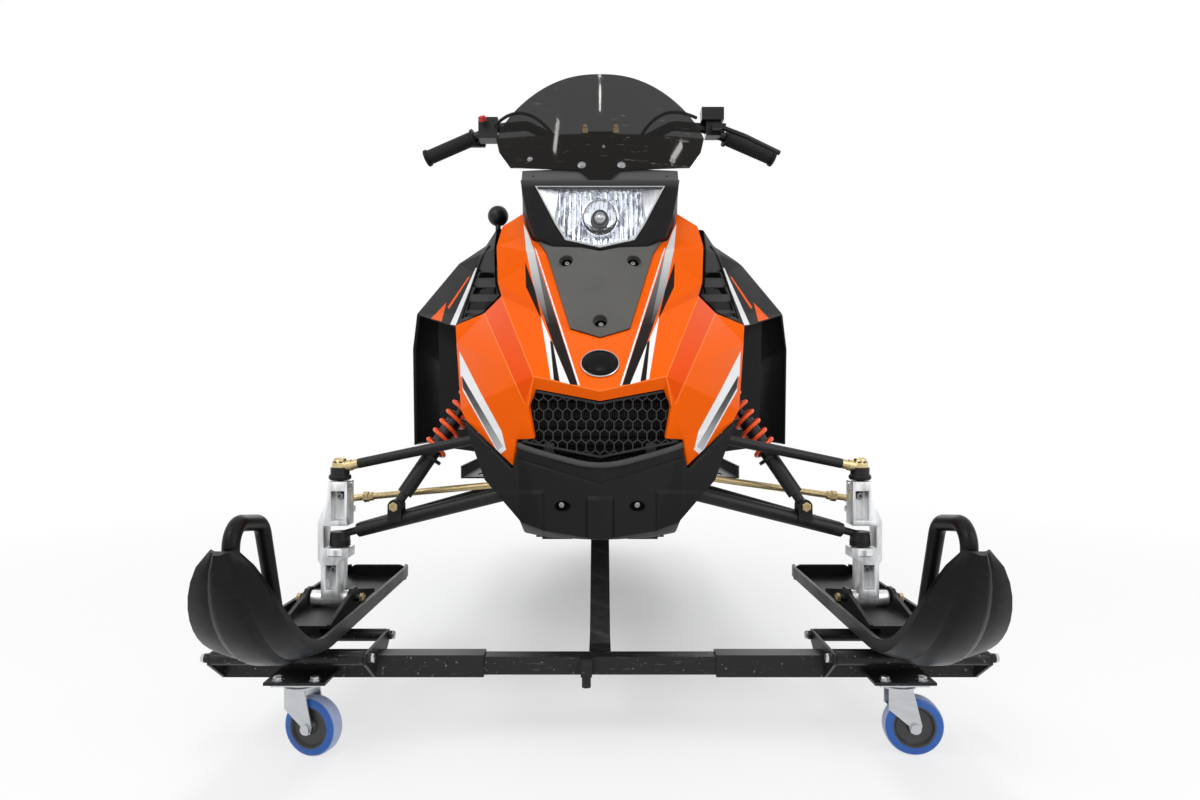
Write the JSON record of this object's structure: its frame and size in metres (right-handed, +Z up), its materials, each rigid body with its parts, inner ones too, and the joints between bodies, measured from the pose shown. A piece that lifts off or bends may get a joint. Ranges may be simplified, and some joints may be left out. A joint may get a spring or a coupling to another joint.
{
  "type": "snowmobile on a workshop dolly",
  "caption": "Single-track snowmobile with steered skis, faceted nose, tinted windshield and long seat, standing on a wheeled T-shaped dolly.",
  "frame": {"origin": "on the floor, under the middle of the overall length and on the centre plane", "axes": "-Y forward to the ski tips, +X to the rider's left, +Z up"},
  "size_m": [1.3486, 2.76, 1.284],
  "materials": {
    "orange_shell": "gloss",
    "black_shell": "grained",
    "grille_black": "satin",
    "tinted_screen": "clear tint",
    "lamp_lens": "clear",
    "red_lens": "gloss",
    "seat_cover": "grained",
    "ski_black": "satin",
    "black_steel": "powder coat",
    "dolly_steel": "scuffed paint",
    "strut_tape": "wrapped tape",
    "cast_silver": "cast",
    "spring_orange": "gloss",
    "yellow_zinc": "yellow zinc",
    "white_zinc": "zinc",
    "wheel_blue": "satin",
    "grip_rubber": "grooved",
    "control_black": "satin",
    "tunnel_metal": "dark coat",
    "engine_iron": "cast",
    "track_rubber": "moulded",
    "slide_plastic": "satin",
    "flap_rubber": "sheet"
  },
  "bodies": {
    "chassis": {"dolly_frame": "dolly_steel", "dolly_arm_left": "dolly_steel", "dolly_arm_right": "dolly_steel", "cradle_rollers": "dolly_steel", "dolly_strut": "strut_tape", "dolly_tray": "dolly_steel", "tow_pin": "dolly_steel", "castor_plates": "white_zinc", "lower_arms": "black_steel", "upper_arms": "black_steel", "front_shocks": "black_steel", "front_springs": "spring_orange", "tunnel": "tunnel_metal", "running_boards": "tunnel_metal", "bulkhead": "black_steel", "engine": "engine_iron", "nacelle": "black_shell", "headlamp": "lamp_lens", "hood": "orange_shell", "hood_panel": "black_shell", "belly_pan": "black_shell", "grille": "grille_black", "windshield": "tinted_screen", "side_panel_left": "black_shell", "side_panel_right": "black_shell", "tank_cover": "black_shell", "seat": "seat_cover", "tail_lamp": "red_lens", "rear_bumper": "black_steel", "snow_flap": "flap_rubber", "track": "track_rubber", "slide_rails": "slide_plastic", "rear_suspension": "black_steel", "track_wheels": "slide_plastic", "shift_lever": "control_black"},
    "steering": {"steering_post": "black_steel", "handlebar": "black_steel", "grips": "grip_rubber", "brake_control": "control_black", "throttle_control": "control_black"},
    "ski_assembly_left": {"ski_left": "ski_black", "ski_loop_left": "ski_black", "saddle_left": "black_steel", "spindle_left": "cast_silver"},
    "ski_assembly_right": {"ski_right": "ski_black", "ski_loop_right": "ski_black", "saddle_right": "black_steel", "spindle_right": "cast_silver"},
    "tie_link_left": {"tie_rod_left": "yellow_zinc"},
    "tie_link_right": {"tie_rod_right": "yellow_zinc"},
    "castor_swivel_left": {"castor_fork_left": "white_zinc"},
    "castor_roll_left": {"castor_wheel_left": "wheel_blue"},
    "castor_swivel_right": {"castor_fork_right": "white_zinc"},
    "castor_roll_right": {"castor_wheel_right": "wheel_blue"},
    "castor_swivel_rear": {"castor_fork_rear": "white_zinc"},
    "castor_roll_rear": {"castor_wheel_rear": "wheel_blue"}
  },
  "joints": [
    {"name": "steering_turn", "type": "hinge", "parent": "chassis", "child": "steering", "pos_m": [0, -0.599, 1.196], "axis": [0, 0.4226, 0.9063], "range_deg": [-30, 30]},
    {"name": "ski_turn_left", "type": "hinge", "parent": "chassis", "child": "ski_assembly_left", "pos_m": [0.502, -0.892, 0.347], "axis": [0, 0, 1], "range_deg": [-30, 30]},
    {"name": "ski_turn_right", "type": "hinge", "parent": "chassis", "child": "ski_assembly_right", "pos_m": [-0.502, -0.892, 0.347], "axis": [0, 0, 1], "range_deg": [-30, 30]},
    {"name": "tie_pivot_left", "type": "hinge", "parent": "steering", "child": "tie_link_left", "pos_m": [0, -0.87004, 0.47279], "axis": [0, 0.4226, 0.9063], "range_deg": [-30, 30]},
    {"name": "tie_pivot_right", "type": "hinge", "parent": "steering", "child": "tie_link_right", "pos_m": [0, -0.87004, 0.47279], "axis": [0, 0.4226, 0.9063], "range_deg": [-30, 30]},
    {"name": "castor_turn_left", "type": "hinge", "parent": "chassis", "child": "castor_swivel_left", "pos_m": [0.514, -1.0675, 0.11], "axis": [0, 0, 1], "continuous": true},
    {"name": "castor_spin_left", "type": "hinge", "parent": "castor_swivel_left", "child": "castor_roll_left", "pos_m": [0.53782, -1.07042, 0.05], "axis": [-0.1219, -0.9925, 0], "continuous": true},
    {"name": "castor_turn_right", "type": "hinge", "parent": "chassis", "child": "castor_swivel_right", "pos_m": [-0.514, -1.0675, 0.11], "axis": [0, 0, 1], "continuous": true},
    {"name": "castor_spin_right", "type": "hinge", "parent": "castor_swivel_right", "child": "castor_roll_right", "pos_m": [-0.49105, -1.07452, 0.05], "axis": [-0.2924, -0.9563, 0], "continuous": true},
    {"name": "castor_turn_rear", "type": "hinge", "parent": "chassis", "child": "castor_swivel_rear", "pos_m": [0, 0.938, 0.11], "axis": [0, 0, 1], "continuous": true},
    {"name": "castor_spin_rear", "type": "hinge", "parent": "castor_swivel_rear", "child": "castor_roll_rear", "pos_m": [0, 0.962, 0.05], "axis": [1, 0, 0], "continuous": true}
  ],
  "couplings": [
    {"joint": "ski_turn_left", "follows": "steering_turn", "ratio": 1},
    {"joint": "ski_turn_right", "follows": "steering_turn", "ratio": 1},
    {"joint": "tie_pivot_left", "follows": "steering_turn", "ratio": -1},
    {"joint": "tie_pivot_right", "follows": "steering_turn", "ratio": -1}
  ]
}
